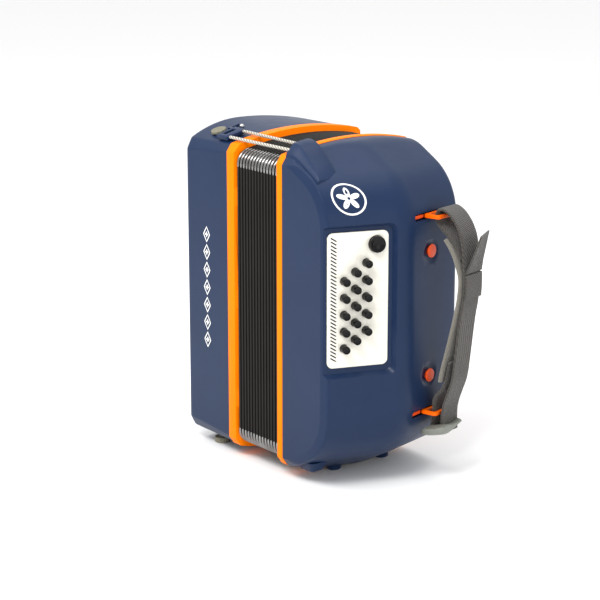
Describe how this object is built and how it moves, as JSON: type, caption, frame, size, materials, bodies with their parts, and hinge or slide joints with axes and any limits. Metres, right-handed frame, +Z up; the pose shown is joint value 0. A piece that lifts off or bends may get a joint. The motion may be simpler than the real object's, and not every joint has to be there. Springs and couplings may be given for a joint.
{
  "type": "button accordion",
  "caption": "Compact button accordion: boxy treble case with fingerboard, folded bellows in bright frames, round-shouldered bass case with button panel, air button and hand strap.",
  "frame": {"origin": "middle of the footprint on the floor, with the bellows closed", "axes": "+X along the bellows from the treble side to the bass side, -Y is the front that faces away from the player, +Z up"},
  "size_m": [0.3315, 0.16, 0.301],
  "materials": {
    "navy_shell": "gloss",
    "orange_frame": "gloss",
    "ivory_panel": "gloss",
    "ivory_keys": "gloss",
    "black_buttons": "gloss",
    "bellows_cloth": "matte",
    "steel": "satin",
    "brass": "satin",
    "wood": "matte",
    "webbing": "matte",
    "knit_pad": "matte",
    "grey_plastic": "satin",
    "felt_pads": "matte",
    "cord": "matte",
    "red_plugs": "gloss"
  },
  "bodies": {
    "treble": {"treble_casing": "navy_shell", "treble_frame": "orange_frame", "treble_reed_blocks": "wood", "treble_reed_plates": "brass", "fingerboard": "navy_shell", "key_axle": "steel", "foot_pads": "felt_pads", "cord_studs": "steel", "cord_hooks": "navy_shell", "strap_lugs": "steel", "bellows": "bellows_cloth", "elastic_cords": "cord", "fingerboard_screws": "steel"},
    "bass": {"bass_casing": "navy_shell", "bass_frame": "orange_frame", "bass_panel": "ivory_panel", "bass_soundboard": "wood", "bass_reed_block": "wood", "bass_reed_plates": "brass", "hand_strap": "webbing", "strap_liner": "knit_pad", "strap_buckle": "grey_plastic", "strap_brackets": "orange_frame", "strap_plugs": "red_plugs"},
    "air_valve_set": {"air_button": "black_buttons", "air_valve": "wood"},
    "treble_key_1": {"treble_key_1": "ivory_keys"},
    "treble_key_2": {"treble_key_2": "ivory_keys"},
    "treble_key_3": {"treble_key_3": "ivory_keys"},
    "treble_key_4": {"treble_key_4": "ivory_keys"},
    "treble_key_5": {"treble_key_5": "ivory_keys"},
    "treble_key_6": {"treble_key_6": "ivory_keys"},
    "treble_key_7": {"treble_key_7": "ivory_keys"},
    "treble_key_8": {"treble_key_8": "ivory_keys"},
    "treble_key_9": {"treble_key_9": "ivory_keys"},
    "treble_key_10": {"treble_key_10": "ivory_keys"},
    "treble_key_11": {"treble_key_11": "ivory_keys"},
    "treble_key_12": {"treble_key_12": "ivory_keys"},
    "treble_key_13": {"treble_key_13": "ivory_keys"},
    "treble_key_14": {"treble_key_14": "ivory_keys"},
    "treble_key_15": {"treble_key_15": "ivory_keys"},
    "treble_key_16": {"treble_key_16": "ivory_keys"},
    "treble_key_17": {"treble_key_17": "ivory_keys"},
    "treble_key_18": {"treble_key_18": "ivory_keys"},
    "bass_button_1": {"bass_button_1": "black_buttons"},
    "bass_button_2": {"bass_button_2": "black_buttons"},
    "bass_button_3": {"bass_button_3": "black_buttons"},
    "bass_button_4": {"bass_button_4": "black_buttons"},
    "bass_button_5": {"bass_button_5": "black_buttons"},
    "bass_button_6": {"bass_button_6": "black_buttons"},
    "bass_button_7": {"bass_button_7": "black_buttons"},
    "bass_button_8": {"bass_button_8": "black_buttons"},
    "bass_button_9": {"bass_button_9": "black_buttons"},
    "bass_button_10": {"bass_button_10": "black_buttons"},
    "bass_button_11": {"bass_button_11": "black_buttons"},
    "bass_button_12": {"bass_button_12": "black_buttons"},
    "bass_button_13": {"bass_button_13": "black_buttons"},
    "bass_button_14": {"bass_button_14": "black_buttons"},
    "bass_button_15": {"bass_button_15": "black_buttons"}
  },
  "joints": [
    {"name": "bellows_slide", "type": "slide", "parent": "treble", "child": "bass", "axis": [1, 0, 0], "range_m": [0, 0.2], "deforming": ["bellows", "elastic_cords"]},
    {"name": "key_1_pivot", "type": "hinge", "parent": "treble", "child": "treble_key_1", "pos_m": [-0.09287, -0.008, 0.091], "axis": [0, 0, -1], "range_deg": [0, 6.2], "stiffness_Nm_per_rad": 0.3, "springref_deg": -8.59},
    {"name": "key_2_pivot", "type": "hinge", "parent": "treble", "child": "treble_key_2", "pos_m": [-0.09287, -0.008, 0.098], "axis": [0, 0, -1], "range_deg": [0, 3.8], "stiffness_Nm_per_rad": 0.3, "springref_deg": -8.59},
    {"name": "key_3_pivot", "type": "hinge", "parent": "treble", "child": "treble_key_3", "pos_m": [-0.09287, -0.008, 0.105], "axis": [0, 0, -1], "range_deg": [0, 3.2], "stiffness_Nm_per_rad": 0.3, "springref_deg": -8.59},
    {"name": "key_4_pivot", "type": "hinge", "parent": "treble", "child": "treble_key_4", "pos_m": [-0.09287, -0.008, 0.112], "axis": [0, 0, -1], "range_deg": [0, 6.2], "stiffness_Nm_per_rad": 0.3, "springref_deg": -8.59},
    {"name": "key_5_pivot", "type": "hinge", "parent": "treble", "child": "treble_key_5", "pos_m": [-0.09287, -0.008, 0.119], "axis": [0, 0, -1], "range_deg": [0, 3.8], "stiffness_Nm_per_rad": 0.3, "springref_deg": -8.59},
    {"name": "key_6_pivot", "type": "hinge", "parent": "treble", "child": "treble_key_6", "pos_m": [-0.09287, -0.008, 0.126], "axis": [0, 0, -1], "range_deg": [0, 3.2], "stiffness_Nm_per_rad": 0.3, "springref_deg": -8.59},
    {"name": "key_7_pivot", "type": "hinge", "parent": "treble", "child": "treble_key_7", "pos_m": [-0.09287, -0.008, 0.133], "axis": [0, 0, -1], "range_deg": [0, 6.2], "stiffness_Nm_per_rad": 0.3, "springref_deg": -8.59},
    {"name": "key_8_pivot", "type": "hinge", "parent": "treble", "child": "treble_key_8", "pos_m": [-0.09287, -0.008, 0.14], "axis": [0, 0, -1], "range_deg": [0, 3.8], "stiffness_Nm_per_rad": 0.3, "springref_deg": -8.59},
    {"name": "key_9_pivot", "type": "hinge", "parent": "treble", "child": "treble_key_9", "pos_m": [-0.09287, -0.008, 0.147], "axis": [0, 0, -1], "range_deg": [0, 3.2], "stiffness_Nm_per_rad": 0.3, "springref_deg": -8.59},
    {"name": "key_10_pivot", "type": "hinge", "parent": "treble", "child": "treble_key_10", "pos_m": [-0.09287, -0.008, 0.154], "axis": [0, 0, -1], "range_deg": [0, 6.2], "stiffness_Nm_per_rad": 0.3, "springref_deg": -8.59},
    {"name": "key_11_pivot", "type": "hinge", "parent": "treble", "child": "treble_key_11", "pos_m": [-0.09287, -0.008, 0.161], "axis": [0, 0, -1], "range_deg": [0, 3.8], "stiffness_Nm_per_rad": 0.3, "springref_deg": -8.59},
    {"name": "key_12_pivot", "type": "hinge", "parent": "treble", "child": "treble_key_12", "pos_m": [-0.09287, -0.008, 0.168], "axis": [0, 0, -1], "range_deg": [0, 3.2], "stiffness_Nm_per_rad": 0.3, "springref_deg": -8.59},
    {"name": "key_13_pivot", "type": "hinge", "parent": "treble", "child": "treble_key_13", "pos_m": [-0.09287, -0.008, 0.175], "axis": [0, 0, -1], "range_deg": [0, 6.2], "stiffness_Nm_per_rad": 0.3, "springref_deg": -8.59},
    {"name": "key_14_pivot", "type": "hinge", "parent": "treble", "child": "treble_key_14", "pos_m": [-0.09287, -0.008, 0.182], "axis": [0, 0, -1], "range_deg": [0, 3.8], "stiffness_Nm_per_rad": 0.3, "springref_deg": -8.59},
    {"name": "key_15_pivot", "type": "hinge", "parent": "treble", "child": "treble_key_15", "pos_m": [-0.09287, -0.008, 0.189], "axis": [0, 0, -1], "range_deg": [0, 3.2], "stiffness_Nm_per_rad": 0.3, "springref_deg": -8.59},
    {"name": "key_16_pivot", "type": "hinge", "parent": "treble", "child": "treble_key_16", "pos_m": [-0.09287, -0.008, 0.196], "axis": [0, 0, -1], "range_deg": [0, 6.2], "stiffness_Nm_per_rad": 0.3, "springref_deg": -8.59},
    {"name": "key_17_pivot", "type": "hinge", "parent": "treble", "child": "treble_key_17", "pos_m": [-0.09287, -0.008, 0.203], "axis": [0, 0, -1], "range_deg": [0, 3.8], "stiffness_Nm_per_rad": 0.3, "springref_deg": -8.59},
    {"name": "key_18_pivot", "type": "hinge", "parent": "treble", "child": "treble_key_18", "pos_m": [-0.09287, -0.008, 0.21], "axis": [0, 0, -1], "range_deg": [0, 3.2], "stiffness_Nm_per_rad": 0.3, "springref_deg": -8.59},
    {"name": "bass_1_press", "type": "slide", "parent": "bass", "child": "bass_button_1", "axis": [-0.9397, 0.342, 0], "range_m": [0, 0.003], "stiffness_N_per_m": 300, "springref_m": -0.002},
    {"name": "bass_2_press", "type": "slide", "parent": "bass", "child": "bass_button_2", "axis": [-0.9397, 0.342, 0], "range_m": [0, 0.003], "stiffness_N_per_m": 300, "springref_m": -0.002},
    {"name": "bass_3_press", "type": "slide", "parent": "bass", "child": "bass_button_3", "axis": [-0.9397, 0.342, 0], "range_m": [0, 0.003], "stiffness_N_per_m": 300, "springref_m": -0.002},
    {"name": "bass_4_press", "type": "slide", "parent": "bass", "child": "bass_button_4", "axis": [-0.9397, 0.342, 0], "range_m": [0, 0.003], "stiffness_N_per_m": 300, "springref_m": -0.002},
    {"name": "bass_5_press", "type": "slide", "parent": "bass", "child": "bass_button_5", "axis": [-0.9397, 0.342, 0], "range_m": [0, 0.003], "stiffness_N_per_m": 300, "springref_m": -0.002},
    {"name": "bass_6_press", "type": "slide", "parent": "bass", "child": "bass_button_6", "axis": [-0.9397, 0.342, 0], "range_m": [0, 0.003], "stiffness_N_per_m": 300, "springref_m": -0.002},
    {"name": "bass_7_press", "type": "slide", "parent": "bass", "child": "bass_button_7", "axis": [-0.9397, 0.342, 0], "range_m": [0, 0.003], "stiffness_N_per_m": 300, "springref_m": -0.002},
    {"name": "bass_8_press", "type": "slide", "parent": "bass", "child": "bass_button_8", "axis": [-0.9397, 0.342, 0], "range_m": [0, 0.003], "stiffness_N_per_m": 300, "springref_m": -0.002},
    {"name": "bass_9_press", "type": "slide", "parent": "bass", "child": "bass_button_9", "axis": [-0.9397, 0.342, 0], "range_m": [0, 0.003], "stiffness_N_per_m": 300, "springref_m": -0.002},
    {"name": "bass_10_press", "type": "slide", "parent": "bass", "child": "bass_button_10", "axis": [-0.9397, 0.342, 0], "range_m": [0, 0.003], "stiffness_N_per_m": 300, "springref_m": -0.002},
    {"name": "bass_11_press", "type": "slide", "parent": "bass", "child": "bass_button_11", "axis": [-0.9397, 0.342, 0], "range_m": [0, 0.003], "stiffness_N_per_m": 300, "springref_m": -0.002},
    {"name": "bass_12_press", "type": "slide", "parent": "bass", "child": "bass_button_12", "axis": [-0.9397, 0.342, 0], "range_m": [0, 0.003], "stiffness_N_per_m": 300, "springref_m": -0.002},
    {"name": "bass_13_press", "type": "slide", "parent": "bass", "child": "bass_button_13", "axis": [-0.9397, 0.342, 0], "range_m": [0, 0.003], "stiffness_N_per_m": 300, "springref_m": -0.002},
    {"name": "bass_14_press", "type": "slide", "parent": "bass", "child": "bass_button_14", "axis": [-0.9397, 0.342, 0], "range_m": [0, 0.003], "stiffness_N_per_m": 300, "springref_m": -0.002},
    {"name": "bass_15_press", "type": "slide", "parent": "bass", "child": "bass_button_15", "axis": [-0.9397, 0.342, 0], "range_m": [0, 0.003], "stiffness_N_per_m": 300, "springref_m": -0.002},
    {"name": "air_press", "type": "slide", "parent": "bass", "child": "air_valve_set", "axis": [-0.9397, 0.342, 0], "range_m": [0, 0.003], "stiffness_N_per_m": 500, "springref_m": -0.003}
  ]
}
